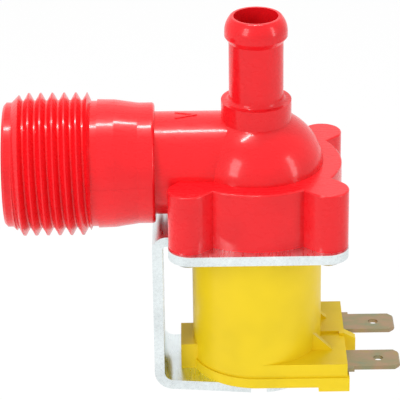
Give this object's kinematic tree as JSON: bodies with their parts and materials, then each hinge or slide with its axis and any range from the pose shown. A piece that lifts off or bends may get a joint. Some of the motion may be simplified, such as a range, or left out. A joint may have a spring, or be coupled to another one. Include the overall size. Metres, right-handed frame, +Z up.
{
  "type": "solenoid valve",
  "caption": "Water solenoid valve: horizontal hose-thread inlet, upright barbed outlet, diaphragm body on a steel yoke bracket, encapsulated coil with flat terminals.",
  "frame": {"origin": "midway between the bracket's two mounting holes, on the outer face of its leg", "axes": "-X points out of the bracket's mounting face and along the inlet towards its mouth; +Z points up the outlet barb; +Y completes the right-handed set, across the valve"},
  "size_m": [0.0747, 0.0354, 0.0733],
  "materials": {
    "red_plastic": "glass-filled red moulding, satin gloss",
    "white_plastic": "plain white moulding",
    "natural_plastic": "unpigmented moulding",
    "stainless_mesh": "fine woven wire",
    "black_rubber": "moulded rubber",
    "zinc_plate": "zinc-plated sheet, fine rolling marks",
    "zinc_screw": "zinc plate",
    "plunger_steel": "ground magnetic stainless steel",
    "spring_steel": "drawn stainless wire",
    "pole_steel": "rolled mild steel",
    "yellow_plastic": "yellow encapsulation, satin",
    "copper_wire": "enamelled copper wire",
    "amber_tape": "polyester winding tape",
    "terminal_brass": "dull passivated strip"
  },
  "bodies": {
    "valve": {"valve_body": "red_plastic", "strainer_frame": "white_plastic", "strainer_screen": "stainless_mesh", "flow_washer": "black_rubber", "washer_holder": "white_plastic", "yoke_bracket": "zinc_plate", "body_screws": "zinc_screw", "plunger_guide": "natural_plastic", "diaphragm": "black_rubber", "plunger_spring": "spring_steel", "coil_housing": "yellow_plastic", "coil_bobbin": "natural_plastic", "coil_winding": "copper_wire", "winding_tape": "amber_tape", "winding_leads": "copper_wire", "upper_pole_sleeve": "pole_steel", "lower_pole_sleeve": "pole_steel", "terminal_front": "terminal_brass", "terminal_rear": "terminal_brass"},
    "plunger": {"plunger": "plunger_steel", "plunger_tip": "black_rubber"},
    "diaphragm_insert": {"diaphragm_insert": "natural_plastic"}
  },
  "joints": [
    {"name": "plunger_stroke", "type": "slide", "parent": "valve", "child": "plunger", "axis": [0, 0, -1], "range_m": [0, 0.0032], "stiffness_N_per_m": 60, "springref_m": -0.008, "deforming": ["plunger_spring"]},
    {"name": "diaphragm_lift", "type": "slide", "parent": "valve", "child": "diaphragm_insert", "axis": [0, 0, -1], "range_m": [0, 0.0014], "deforming": ["diaphragm"]}
  ],
  "couplings": [
    {"joint": "diaphragm_lift", "follows": "plunger_stroke", "ratio": 0.4}
  ]
}
